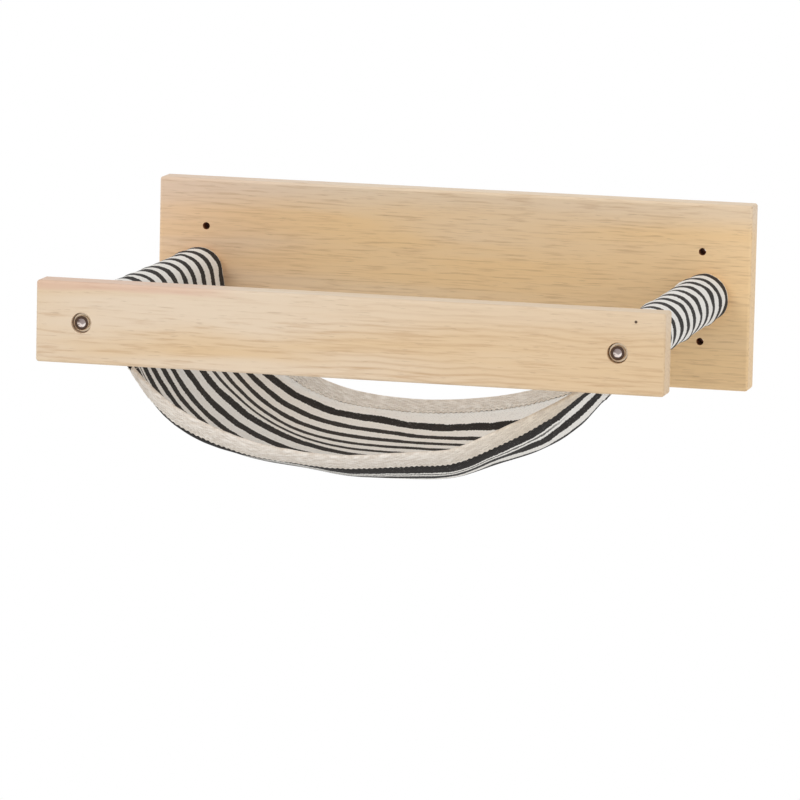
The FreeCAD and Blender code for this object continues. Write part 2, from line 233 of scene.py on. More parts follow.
@named
class HammockTape(bpy.types.PropertyGroup):
    """Cotton tape folded over the hems."""

    width: length("From the fold to the selvedge", 0.0112)
    thickness: length("Thickness of the tape", 0.00075)
    gap: length("Room between tape and canvas", 0.00015)
    end_gap: length("From the tape's end to the flap", 0.0003)
    puff: length("Swelling of the tape beside its stitches", 0.0004)
    scallop_pitch: length("Length of one scallop of the selvedge", 0.0036)
    scallop_depth: length("Depth of the scallops", 0.0010)
    stitch_inset: length("From the selvedge to the stitches", 0.0022)
    rib_pitch: length("Distance between the ribs", 0.0016)
    strand_slope: number("Slope of the strands across the tape", 0.22)
    cream: tint("Colour of the tape", 0.90, 0.84, 0.765)
    aged: tint("Yellower cotton at the tape's right", 0.80, 0.69, 0.54)
    # colour of the low parts of the tape's relief: partly the weave's gaps, partly painted shade
    hollow: tint("Colour between the strands", 0.60, 0.51, 0.42)


@named
class HammockThread(bpy.types.PropertyGroup):
    """Sewing thread of the hems and seams."""

    stitch: length("Length of a stitch", 0.0027)
    spacing: length("From one stitch to the next", 0.0036)
    thickness: length("Thickness of the thread", 0.0007)
    seam_row: length("From a seam to its first row of stitches", 0.0022)
    row_gap: length("Between the two rows of a seam", 0.0036)
    colour: tint("Colour of the thread", 0.72, 0.66, 0.57)


@named
class HammockWood(bpy.types.PropertyGroup):
    """Pale lacquered wood."""

    rail_pale: tint("Lightest tone of the rail", 0.775, 0.63, 0.475)
    rail_honey: tint("Yellower tone of the rail", 0.735, 0.53, 0.315)
    board_pale: tint("Lightest tone of the board", 0.83, 0.645, 0.445)
    # painted light: the board is paler along its top
    board_top_painted_light: tint("Tone along the board's top", 0.80, 0.655, 0.50)
    # the board's yellower tone, also used as painted shade low down on the board
    board_honey_and_low_shade: tint("Yellower tone of the board", 0.875, 0.61, 0.325)
    blush: tint("Tone of the pinkish streaks", 0.70, 0.45, 0.335)
    line: tint("Tone of the grain lines", 0.52, 0.325, 0.175)
    pore: tint("Tone of the short dark dashes", 0.40, 0.255, 0.15)
    knot: tint("Tone of the pin knot", 0.07, 0.035, 0.02)
    # dark walls of holes and recesses: partly the drilled end grain, partly painted shade
    drilled: tint("Tone of the walls of holes", 0.30, 0.115, 0.045)
    ring_pitch: length("Distance between the grain lines", 0.0047)
    ring_swing: length("How far the grain lines sway", 0.016)
    streak_height: length("Height of the pink streak on the rail", 0.0200)
    knot_x: length("Place of the pin knot along the rail", 0.1906)
    knot_z: length("Height of the pin knot on the rail", 0.0208)
    knot_radius: length("Radius of the pin knot", 0.0009)


@named
class HammockMetal(bpy.types.PropertyGroup):
    """Plated steel of the fasteners."""

    # the socket's painted reflection and painted shade reach this far from the bolt's axis
    socket_radius: length("Reach of the bright metal in a socket", 0.0027)
    # beyond this radius a bolt's head takes the washer's colour, with its painted reflection of the wood
    rim_radius: length("Where the worn rim of a head begins", 0.0045)
    head: tint("Colour of a bolt's head", 0.09, 0.056, 0.041)
    # painted reflection on the socket's lower walls
    socket: tint("Colour of the metal low in the socket", 0.88, 0.80, 0.76)
    # painted shade high in the socket
    socket_painted_shade: tint("Colour of the metal high in the socket", 0.36, 0.295, 0.28)
    # the washers' warm tint is partly their plating and partly a painted reflection of the wood
    washer: tint("Colour of the washers", 0.80, 0.69, 0.545)
    insert: tint("Colour of the threaded inserts", 0.62, 0.57, 0.46)


@named
class HammockStage(bpy.types.PropertyGroup):
    """Camera, floor and light."""

    camera_place: vector("Place of the camera", (1.0001, -4.2510, 0.5749), "TRANSLATION")
    camera_yaw: angle("Turn of the camera to its left", 13.74)
    camera_pitch: angle("Tilt of the camera downwards", 8.597)
    camera_roll: angle("Turn of the camera about its view", 1.26)
    lens: number("Focal length in millimetres", 285.7, min=1)
    floor_drop: length("From the lowest cloth to the floor", 0.24)
    floor_reach: length("Radius of the floor", 14.0)
    world_light: number("Strength of the light from all round", 0.70, min=0)
    key_place: vector("Place of the large lamp", (-3.0, -5.2, 4.6), "TRANSLATION")
    key_size: length("Width of the large lamp", 3.8)
    key_light: number("Power of the large lamp", 145, min=0, unit="POWER")
    fill_place: vector("Place of the small lamp", (2.6, -2.0, 0.5), "TRANSLATION")
    fill_size: length("Width of the small lamp", 1.6)
    fill_light: number("Power of the small lamp", 12, min=0, unit="POWER")


class Wire:
    """A socket of a node tree. Arithmetic on it adds Math nodes."""

    def __init__(self, tree, socket):
        self.tree = tree
        self.socket = socket

    def maths(self, operation, *others):
        return add_node(self.tree, "ShaderNodeMath", dict(enumerate((self, *others))), operation=operation)

    def __add__(self, other):
        return self.maths("ADD", other)

    def __mul__(self, other):
        return self.maths("MULTIPLY", other)

    def __sub__(self, other):
        return self.maths("SUBTRACT", other)

    def __rsub__(self, other):
        return self.maths("MULTIPLY_ADD", -1, other)

    def __truediv__(self, other):
        return self.maths("DIVIDE", other)

    def __abs__(self):
        return self.maths("ABSOLUTE")

    def rise(self, low, high):
        """Smooth step from 0 at low to 1 at high."""
        sockets = {"Value": self, "From Min": low, "From Max": high}
        return add_node(self.tree, "ShaderNodeMapRange", sockets, interpolation_type="SMOOTHSTEP")

    def band(self, centre, half, soft):
        """1 within half of the centre, 0 further off than half and soft."""
        return 1 - abs(self - centre).rise(half, half + soft)


def fill(socket, given):
    """Links a socket to a wire, or sets it to a plain value."""
    if isinstance(given, Wire):
        given.tree.links.new(given.socket, socket)
    else:
        socket.default_value = given


def add_node(tree, kind, sockets=None, output=0, **settings):
    """Adds a node with its settings and sockets, and gives the wire from one output."""
    node = tree.nodes.new(kind)
    for name, setting in settings.items():
        setattr(node, name, setting)
    for key, given in (sockets or {}).items():
        fill(node.inputs[key], given)
    return Wire(tree, node.outputs[output])


class Finish:
    """A material in the making."""

    def __init__(self, name):
        self.material = bpy.data.materials.new(name)
        self.material.use_nodes = True
        self.tree = self.material.node_tree
        self.shader = self.tree.nodes["Principled BSDF"]
        self.node = partial(add_node, self.tree)

    def place(self):
        return self.node("ShaderNodeTexCoord", output="Object")

    def cloth_place(self):
        return self.node("ShaderNodeUVMap", uv_map=CLOTH_UV)

    def split(self, vector):
        """The three numbers of a vector."""
        return [self.node("ShaderNodeSeparateXYZ", {0: vector}, axis) for axis in range(3)]

    def join(self, x, y):
        return self.node("ShaderNodeCombineXYZ", {0: x, 1: y})

    def noise(self, vector, waves, detail=2.0, shift=(0, 0, 0)):
        """Noise from 0 to 1 with its own waves per metre along each axis."""
        spot = self.node("ShaderNodeMapping", {"Vector": vector, "Location": shift, "Scale": waves})
        return self.node("ShaderNodeTexNoise", {"Vector": spot, "Scale": 1.0, "Detail": detail})

    def mix(self, share, first, second):
        """Colour between two tints or mixes."""
        colours = [given if isinstance(given, Wire) else (*given, 1) for given in (first, second)]
        return self.node("ShaderNodeMix", {0: share, 6: colours[0], 7: colours[1]}, 2, data_type="RGBA")

    def bump(self, height, depth, strength):
        return self.node("ShaderNodeBump", {"Strength": strength, "Distance": depth, "Height": height})

    def done(self, **sockets):
        """Sets the shader's sockets and gives the material."""
        for name, given in sockets.items():
            fill(self.shader.inputs[name.replace("_", " ")], given)
        return self.material


def distance(across, up):
    return (across * across + up * up).maths("SQRT")


def drilled_mask(across, up, centre, radius):
    """1 inside holes at the same distance left, right, above and below the origin."""
    reach = distance(abs(across) - centre[0], abs(up) - centre[1])
    return 1 - reach.rise(radius, radius * 1.04)


# How a piece's grain lies: axis, shift in the noises, strength at both ends, heights where it grows faint.
Grain = namedtuple("Grain", "axis shift ends faint")


def wood(name, tones, ramps, looks, grain):
    """Tone, grain lines and pores of pale wood. A ramp is an axis, a start, an end, a share and a tone."""
    finish = Finish(name)
    place = finish.place()
    spots = finish.split(place)

    def fibres(along, across, detail=2.0, aside=0.0):
        waves = [across] * 3
        waves[grain.axis] = along
        return finish.noise(place, waves, detail, (grain.shift + aside, grain.shift, aside))

    tone = finish.mix(fibres(4, 40).rise(0.36, 0.64), *tones)
    for direction, start, end, amount, colour in ramps:
        tone = finish.mix(spots[direction].rise(start, end) * amount, tone, colour)
    strength = 1 - spots[2].rise(*grain.faint) * 0.6
    depth = spots[2] + spots[1 - grain.axis] * 0.4 + fibres(12, 22, 2.0, 2.0) * looks.ring_swing
    rings = (depth / looks.ring_pitch * (2 * math.pi)).maths("SINE") * 0.5 + 0.5
    rings = rings.maths("POWER", 3.0) * fibres(7, 45, 2.0, 13.0).rise(0.38, 0.62)
    first, last = grain.ends
    rings = rings * strength * (spots[grain.axis].rise(*GRAIN_CHANGE) * (last - first) + first)
    tone = finish.mix(rings, tone, looks.line)
    streaks = fibres(38, 640, 3.0, 3.0).rise(0.48, 0.74) * strength
    tone = finish.mix(streaks * 0.48, tone, looks.line)
    pores = fibres(85, 1250, 1.0, 5.0).rise(0.66, 0.76)
    tone = finish.mix(pores * 0.28, tone, looks.pore)
    return finish, tone, rings + streaks, pores


def wood_done(finish, tone, lines, pores, holes=0.0):
    """The wood's shader, dull where holes is 1."""
    return finish.done(
        Base_Color=tone,
        Roughness=(lines * 0.1 + 0.46 + holes).maths("MINIMUM", 1.0),
        Normal=finish.bump(lines * 0.5 + pores, depth=-0.0002, strength=0.5),
        Specular_IOR_Level=0.35,
        Coat_Weight=(1 - holes) * 0.06,
        Coat_Roughness=0.45,
    )


def rail_wood(looks):
    """The rail: a pink streak at the left, yellower to the right, a pin knot, shaded recesses."""
    tones = (looks.rail_pale, looks.rail_honey)
    ramps = [(0, -0.12, 0.2, 0.9, looks.rail_honey), (2, 0.006, 0.022, 0.5, looks.rail_pale)]
    grain = Grain(axis=0, shift=3.1, ends=(0.1, 0.4), faint=(0.003, 0.018))
    finish, tone, lines, pores = wood("rail_wood", tones, ramps, looks, grain)
    across, _, up = finish.split(finish.place())
    sway = (finish.noise(finish.place(), (14, 30, 30)) - 0.5) * PINK_SWAY
    pink = (up + sway).rise(looks.streak_height, looks.streak_height + PINK_BLUR)
    pink = pink * (1 - across.rise(*PINK_END))
    tone = finish.mix(pink * (lines * 0.38 + 0.62), tone, looks.blush)
    knot = distance(across - looks.knot_x, up - looks.knot_z)
    tone = finish.mix(1 - knot.rise(looks.knot_radius * 0.7, looks.knot_radius * 1.4), tone, looks.knot)
    recess = recess_mask(across, up)
    # painted shade in the bolts' recesses: their walls are darkened towards the holes' wall tone
    tone = finish.mix(recess * 0.2, tone, looks.drilled)
    return wood_done(finish, tone, lines, pores, recess)


def board_wood(looks):
    """The board: pinker to the left, yellower to the right, with painted light along its top, painted shade
    low down, and dark walls in its holes and recesses, partly painted shade.
    """
    tones = (looks.board_pale, looks.board_honey_and_low_shade)
    ramps = [
        (0, -0.05, 0.2, 0.75, looks.board_honey_and_low_shade),
        # painted shade: yellower and darker low down on the board
        (2, 0.045, 0.01, 0.4, looks.board_honey_and_low_shade),
        # painted light: paler along the board's top
        (2, 0.04, 0.06, 0.7, looks.board_top_painted_light),
        (0, -0.05, -0.21, 0.35, looks.blush),
    ]
    grain = Grain(axis=0, shift=8.7, ends=(0.2, 0.14), faint=(0.1, 0.2))
    finish, tone, lines, pores = wood("board_wood", tones, ramps, looks, grain)
    across, _, up = finish.split(finish.place())
    holes = drilled_mask(across, up, *wall_screws())
    recess = recess_mask(across, up)
    # the walls of the holes and the recesses are darkened: partly drilled end grain, partly painted shade
    tone = finish.mix(holes.maths("MAXIMUM", recess * 0.35), tone, looks.drilled)
    return wood_done(finish, tone, lines, pores, holes.maths("MAXIMUM", recess))


def rod_wood(looks):
    tones = (looks.rail_pale, looks.rail_honey)
    grain = Grain(axis=1, shift=15.3, ends=(0.2, 0.2), faint=(0.1, 0.2))
    return wood_done(*wood("rod_wood", tones, [], looks, grain))


def wall_screws():
    """Place and radius of the wall screws' holes, from the record."""
    dims = next(m for m in frame["record"]["mounts"] if m["name"] == "wall_screws")["dims"]
    place = [dims[key] / 2 / MM_PER_M for key in ("spacing_x_mm", "spacing_y_mm")]
    return place, dims["hole_r_mm"] / MM_PER_M


def bolt_place():
    """Distance of the bolts from the middle."""
    low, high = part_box("front_right_bolt")
    return (low.x + high.x) / 2


def recess_mask(across, up):
    """1 inside the recesses of the bolts."""
    low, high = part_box("front_right_washer")
    return drilled_mask(across, up, (bolt_place(), 0.0), (high.x - low.x) / 2 * RECESS_ROOM)


def steel(name, colour, rough, head=None):
    """Plated steel with turning marks round the bolts' axis; a bolt's socket gets a painted reflection low
    down and painted shade higher up, and its head's rim takes the washer's colour.
    """
    finish = Finish(name)
    across, depth, up = finish.split(finish.place())
    aside = abs(across) - bolt_place()
    radius = distance(aside, up)
    marks = finish.noise(finish.join(radius, depth), (5200, 1800, 1))
    stains = finish.noise(finish.place(), (420, 420, 420), 3.0)
    tone = finish.mix(stains.rise(0.5, 0.75) * 0.35, colour, [share * 0.6 for share in colour])
    if head:
        # height over the two lower walls of a socket with one corner down: a painted reflection below,
        # painted shade above
        height = up - abs(aside) * math.tan(math.pi / 6)
        socket = finish.mix(height.rise(*SOCKET_SHADE), head.socket, head.socket_painted_shade)
        tone = finish.mix(1 - radius.rise(head.socket_radius, head.socket_radius * 1.06), tone, socket)
        # the head's outer rim takes the washer's colour, with its painted reflection of the wood
        tone = finish.mix(radius.rise(head.rim_radius, head.rim_radius * 1.05), tone, head.washer)
    return finish.done(
        Base_Color=tone,
        Metallic=1.0,
        Roughness=stains * 0.2 + marks * 0.1 + rough,
        Normal=finish.bump(marks, depth=0.00004, strength=0.5),
    )


def striped_canvas(looks):
    """Plain-woven canvas with dark stripes of wandering edges."""
    finish = Finish("striped_canvas")
    place = finish.cloth_place()
    along, across, _ = finish.split(place)
    ragged = (finish.noise(place, (950, 260, 1), 0.0) - 0.5) * STRIPE_RAGGED
    drift = (finish.noise(place, (60, 34, 1)) - 0.5) * STRIPE_DRIFT
    reach = across + ragged + drift
    regular = looks.first_dark + CLOSE_STRIPES * looks.front_period
    far = reach.rise(regular - STRIPE_CHANGE, regular + STRIPE_CHANGE)
    past = reach - regular
    turns = (past / looks.front_period).maths("MINIMUM", past / looks.stripe_period)
    period = far * (looks.stripe_period - looks.front_period) + looks.front_period
    cell = abs((turns + 0.5).maths("FRACT") - 0.5) * period
    half = (far * (looks.dark_width - looks.front_width) + looks.front_width) * 0.5
    stripes = 1 - cell.rise(half - STRIPE_BLUR, half + STRIPE_BLUR)
    first = reach.band(looks.first_dark, looks.first_width / 2 - STRIPE_BLUR, 2 * STRIPE_BLUR)
    # painted shade of a crease, as a thin dark line that fades along the cloth
    pin = reach.band(looks.crease_shade_place, looks.crease_shade_width / 2, STRIPE_BLUR) * (1 - along.rise(*CREASE_SHADE_FADE))
    stripes = stripes.maths("MAXIMUM", first).maths("MAXIMUM", pin * 0.85)
    weft = along / looks.thread_pitch
    warp = across / looks.thread_pitch
    weave = (weft * math.pi).maths("SINE") * (warp * math.pi).maths("SINE")
    cross = finish.join(weft.maths("FLOOR"), warp.maths("FLOOR"))
    thread = finish.node("ShaderNodeTexWhiteNoise", {"Vector": cross})
    slub = finish.noise(place, (60, 700, 1))
    knots = abs(weave)
    pale = finish.mix((1 - thread.rise(0.0, 0.28)) * knots * 0.34 + slub * 0.1, looks.pale, looks.gap)
    dark = finish.mix(thread.rise(0.85, 1.0) * knots * 0.1, looks.dark, looks.pale)
    return finish.done(
        Base_Color=finish.mix(stripes, pale, dark),
        Roughness=0.92,
        Normal=finish.bump(weave * 0.5 + slub * 0.6, depth=0.0003, strength=0.6),
    )


def cotton_tape(looks):
    """Woven tape of crossing strands, a little yellower to the right."""
    finish = Finish("cotton_tape")
    along, across, _ = finish.split(finish.cloth_place())
    lean = along * looks.strand_slope
    strands = finish.noise(finish.join(along, across + lean), (120, 760, 1), 1.0).rise(0.38, 0.62)
    crossing = finish.noise(finish.join(along, across - lean), (150, 680, 1), 1.0).rise(0.38, 0.62)
    ribs = (along / looks.rib_pitch * (2 * math.pi)).maths("SINE") * 0.5 + 0.5
    relief = strands * 0.5 + crossing * 0.35 + ribs * 0.15
    cream = finish.mix(along.rise(*TAPE_AGED) * 0.85, looks.cream, looks.aged)
    # lower relief is darker: partly the weave's own gaps, partly painted shade in the hollows
    tone = finish.mix((1 - relief) * 0.75, cream, looks.hollow)
    bump = finish.bump(relief, depth=0.0006, strength=0.9)
    return finish.done(Base_Color=tone, Roughness=0.9, Normal=bump)


def sewing_thread(looks):
    finish = Finish("sewing_thread")
    twist = finish.noise(finish.place(), (2600, 2600, 2600), 1.0)
    tone = finish.mix(twist * 0.5, looks.colour, [share * 0.66 for share in looks.colour])
    bump = finish.bump(twist, depth=0.00015, strength=0.6)
    return finish.done(Base_Color=tone, Roughness=0.75, Normal=bump)


def wander(first, second, seed):
    """Smooth noise from about -1 to 1 at each pair of numbers."""
    pairs = zip(*(np.ravel(part) for part in np.broadcast_arrays(first, second)))
    values = [noise.noise((a, b, seed)) for a, b in pairs]
    return np.reshape(values, np.broadcast(first, second).shape)


def ease(value, start, end):
    """Smooth step from zero at the start to one at the end."""
    share = np.clip((value - start) / (end - start), 0, 1)
    return share**2 * (3 - 2 * share)


def hump(value, middle, spread, power=2):
    """One at the middle, falling smoothly to zero on both sides."""
    return np.exp(-(((value - middle) / spread) ** power))


def run_along(points, axis=0):
    """Length from the first point to each point along one axis."""
    run = np.cumsum(np.linalg.norm(np.diff(points, axis=axis), axis=-1), axis)
    return np.insert(run, 0, 0, axis)


class Drape:
    """The hanging cloth: the solid's own curves, with puckers, folds and wrinkles."""

    def __init__(self, cloth):
        low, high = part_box("sling_canvas")
        rod_low, rod_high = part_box("right_rod")
        self.cloth = cloth
        self.layer = cloth.solid_thickness
        self.rod_x = (rod_low.x + rod_high.x) / 2
        self.middle = (low.y + high.y) / 2
        self.half_width = (high.y - low.y) / 2
        self.belly_sag = -low.z
        outer = high.x - self.rod_x
        apex = outer + cloth.seam_gap
        self.taper = math.asin(outer / apex)
        reach = apex - self.layer / math.tan(self.taper)
        self.ring = outer - self.layer / 2
        self.seam_x = math.cos(cloth.seam_angle)
        self.seam_z = math.sin(cloth.seam_angle)
        self.half_span = self.rod_x - reach * self.seam_x
        self.seam_drop = reach * self.seam_z
        self.free_span = self.half_span - cloth.flap_reach

    def inset(self, y):
        """Distance from the nearest hem, negative outside it."""
        return self.half_width - np.abs(y - self.middle)

    def height(self, x, y):
        """Height of the under face between the seams, without puckers."""
        share = x / self.half_span
        inward = self.inset(y) / self.half_width
        hem = (1 - inward) ** (HEM_TURN + LEFT_TURN * ((1 - share) / 2) ** 3)
        sag = self.cloth.hem_sag * hem + self.belly_sag * (1 - hem)
        power = HEM_FULLNESS * hem + (BELLY_FULLNESS - MIDDLE_EASE * inward**2) * (1 - hem)
        curve = np.maximum(np.abs(share), 1e-9) ** power
        lean = self.cloth.lean_drop * hem * 1.5 * math.sqrt(3)
        return (sag - self.seam_drop) * curve - sag + lean * (share - share**3)

    def smooth_point(self, x, y, layer=0.5):
        """Point between the seams, so many layers over the under face, without puckers."""
        lift = layer * self.layer
        slope = (self.height(x + SLOPE_STEP, y) - self.height(x - SLOPE_STEP, y)) / (2 * SLOPE_STEP)
        run = np.hypot(1, slope)
        turn_x = -slope / run
        turn_z = 1 / run
        # the last stretch turns into the sleeve's own direction
        bend = np.clip((np.abs(x) - self.free_span) / (self.half_span - self.free_span), 0, 1) ** 2
        turn_x = turn_x + bend * (-np.sign(x) * self.seam_z - turn_x)
        turn_z = turn_z + bend * (self.seam_x - turn_z)
        height = self.height(x, y) + lift * turn_z
        return np.stack(np.broadcast_arrays(x + lift * turn_x, y, height), -1)

    def normal(self, x, y):
        """Upward normal of the cloth between the seams."""
        along = self.smooth_point(x + SLOPE_STEP, y) - self.smooth_point(x - SLOPE_STEP, y)
        across = self.smooth_point(x, y + SLOPE_STEP) - self.smooth_point(x, y - SLOPE_STEP)
        square = np.cross(along, across)
        return square / np.linalg.norm(square, axis=-1, keepdims=True)

    def pucker(self, x, y):
        """Height of the puckers, folds and slack of the cloth between the seams."""
        cloth = self.cloth
        inset = np.maximum(self.inset(y), 0)
        seam = np.maximum(self.half_span - np.abs(x), 0)
        side = np.sign(x)
        end = np.sign(y - self.middle)
        height = cloth.seam_pucker * np.exp(-seam / SEAM_FADE) * wander(y / SEAM_WAVE, side * 3.7, seed=1.3)
        height = height + cloth.hem_pucker * np.exp(-inset / HEM_FADE) * wander(x / HEM_WAVE, end, seed=5.1)
        # folds run in from the four corners, where the sleeves pull
        aside = self.free_span - np.abs(x)
        away = np.hypot(aside, inset)
        angle = np.arctan2(inset, np.maximum(aside, 1e-6))
        fade = np.clip(away / FOLD_START, 0, 1) ** 2 * np.exp(-away / FOLD_FADE)
        folds = 2.4 * fade * wander(angle * 5.0, side * 2.3 + end, seed=8.2)
        slack = wander(x / SLACK_WAVES[0], y / SLACK_WAVES[1], seed=2.6) * np.clip(inset / FOLD_START, 0, 1)
        height = height + cloth.corner_fold * (folds + 0.5 * slack)
        return height + self.drawn(x / self.half_span, y)

    def drawn(self, share, y):
        """How far the weight draws the cloth up or in, less how far it pushes it down or out."""
        cloth = self.cloth
        inset = np.maximum(self.inset(y), 0)
        front = y - self.middle + self.half_width
        left = hump(share, *LEFT_SPAN, power=4) * hump(inset, 0, LEFT_REACH)
        left = left * (0.45 + 0.55 * ease(inset, 0, LEFT_FULL))
        right = hump(share, *RIGHT_SPAN) * ease(front, *RIGHT_NEAR) * ease(front, *RIGHT_FAR)
        tilt = hump(share, *TILT_SPAN) * ease(front, *TILT_NEAR) * ease(front, *TILT_FAR)
        tight = hump(share, *TIGHT_SPAN) * ease(front, *TIGHT_NEAR) * ease(inset, *TIGHT_INSET)
        puff = ease(share, *PUFF_SPAN) * hump(front, *PUFF_HUMP)
        drop = hump(share, *DROP_SPANS[0]) + 0.8 * hump(share, *DROP_SPANS[1])
        drop = drop * hump(front, 0, DROP_REACH)
        raised = cloth.left_lift * left + cloth.right_lift * right + cloth.hem_tilt * tilt
        return raised + cloth.flank_tight * tight - cloth.flank_puff * puff - cloth.hem_drop * drop

    def point(self, x, y, lift=0.0, layer=0.5):
        """Point lifted along the normal from the middle of the upper or lower layer."""
        raised = self.pucker(x, y) + lift
        return self.smooth_point(x, y, layer) + raised[..., None] * self.normal(x, y)

    def sleeve(self, side, y):
        """Columns from the upper seam round the rod to the lower seam."""
        turn = math.pi / 2 + self.taper
        angles = np.linspace(math.pi + turn, math.pi - turn, ROUND_COLUMNS)
        shares = np.linspace(0, 1, STRAIGHT_COLUMNS + 1)[1:-1]
        upper, lower = (self.ring_point(side, y, angle, 0) for angle in angles[[0, -1]])
        seam_up = self.point(side * self.half_span, y)
        seam_down = self.point(side * self.half_span, y, layer=-0.5)
        columns = [seam_up + share * (upper - seam_up) for share in shares]
        for angle in angles:
            columns.append(self.ring_point(side, y, angle, self.wrinkle(side, y, angle)))
        columns.extend(lower + share * (seam_down - lower) for share in shares)
        return columns

    def ring_point(self, side, y, angle, raised):
        """Point round the rod, at an angle from the direction of the seam."""
        radius = self.ring + raised
        along = math.cos(angle)
        over = -math.sin(angle)
        x = self.rod_x + radius * (-along * self.seam_x - over * self.seam_z)
        z = radius * (-along * self.seam_z + over * self.seam_x)
        return np.stack(np.broadcast_arrays(side * x, y, z), -1)

    def wrinkle(self, side, y, angle):
        """Height of the wrinkles round a rod, which only stand outwards."""
        run = angle * self.ring
        around, along = WRINKLE_WAVES
        slant = wander((run + 0.5 * y) / around, (y - 0.3 * run) / along, seed=side * 4.4)
        small = wander(run / CREASE_WAVES[0], y / CREASE_WAVES[1], seed=side * 6.1)
        return self.cloth.sleeve_wrinkle * np.maximum(slant + 0.25 * small, 0)


def cloth_columns(drape):
    """Columns of the cloth from flap end to flap end, and which lie on the sleeves."""
    y = drape.middle + np.linspace(-drape.half_width, drape.half_width, ROWS + 1)
    flap_x = np.linspace(drape.half_span, drape.free_span, SEAM_COLUMNS)
    sides = []
    for side in (-1, 1):
        flap = [drape.point(x, y, layer=-0.5) for x in side * flap_x]
        sides.append(drape.sleeve(side, y) + flap)
    left, right = sides
    stops = np.concatenate([-flap_x[:-1], even_stops(drape), flap_x[:-1][::-1]])
    trough = [drape.point(x, y) for x in stops]
    sleeve = [True] * len(left) + [False] * len(trough) + [True] * len(right)
    return np.array(left[::-1] + trough + right), np.array(sleeve)


def even_stops(drape):
    """Places across the trough, evenly spaced along the belly's curve."""
    fine = np.linspace(-drape.free_span, drape.free_span, FINE_STEPS)
    run = run_along(drape.smooth_point(fine, drape.middle, layer=0))
    return np.interp(np.linspace(0, run[-1], TROUGH_COLUMNS + 1), run, fine)


def unbroken_map(along, across, sleeve):
    """Carries the trough's map round the sleeves and back over the flaps, where the stripes creep."""
    first, last = np.flatnonzero(~sleeve)[[0, -1]]
    sides = (
        (slice(first, None, -1), slice(first, first + SEAM_COLUMNS)),
        (slice(last, None), slice(last, last - SEAM_COLUMNS, -1)),
    )
    for outward, inward in sides:
        run = along[outward]
        gone = run - run[0]
        back = gone[-SEAM_COLUMNS] - gone
        run[:] = run[0] + np.where(np.abs(gone) < np.abs(back), gone, back)
        run[-SEAM_COLUMNS:] = along[inward]
        reach = across[outward]
        shares = np.minimum(np.arange(len(reach)) / (len(reach) - SEAM_COLUMNS), 1)
        reach[:] = reach[0] + SEAM_CREEP * shares[:, None]
        reach[-SEAM_COLUMNS:] = across[inward] + SEAM_CREEP


def cloth_mesh(drape):
    """One layer of the cloth with a map in metres, and its length from flap end to flap end."""
    columns, sleeve = cloth_columns(drape)
    along = run_along(columns)
    along = along - along[len(columns) // 2]
    across = run_along(columns, 1)
    across = across / across[:, -1:] * 2 * drape.half_width
    cut_length = float(along[-1].max() - along[0].min())
    unbroken_map(along, across, sleeve)
    faces = grid_faces(np.arange(along.size).reshape(along.shape))
    mesh = new_mesh("sling_cloth", columns, faces)
    set_uv(mesh, along, across)
    return mesh, cut_length


def grid_faces(grid):
    """Four-sided faces between the vertices that a grid numbers."""
    corners = [grid[:-1, :-1], grid[1:, :-1], grid[1:, 1:], grid[:-1, 1:]]
    return np.stack(corners, -1).reshape(-1, 4).tolist()


def new_mesh(name, points, faces):
    mesh = bpy.data.meshes.new(name)
    mesh.from_pydata(np.reshape(points, (-1, 3)).tolist(), [], faces)
    mesh.update()
    mesh.shade_smooth()
    return mesh


def set_uv(mesh, along, across):
    """Map of the mesh from each vertex's places along and across the cloth."""
    layer = mesh.uv_layers.new(name=CLOTH_UV)
    vertices = np.zeros(len(mesh.loops), int)
    mesh.loops.foreach_get("vertex_index", vertices)
    places = np.stack(np.broadcast_arrays(along, across), -1).reshape(-1, 2)
    layer.data.foreach_set("uv", places[vertices].astype(np.float32).ravel())


def add_object(name, data):
    added = bpy.data.objects.new(name, data)
    bpy.context.scene.collection.objects.link(added)
    return added


def paint(mesh, material):
    mesh.materials.clear()
    mesh.materials.append(material)


def new_piece(name, mesh, material):
    paint(mesh, material)
    return add_object(name, mesh)


def made_mesh(piece):
    """Mesh of a piece with its modifiers worked in."""
    graph = bpy.context.evaluated_depsgraph_get()
    return bpy.data.meshes.new_from_object(piece.evaluated_get(graph), depsgraph=graph)


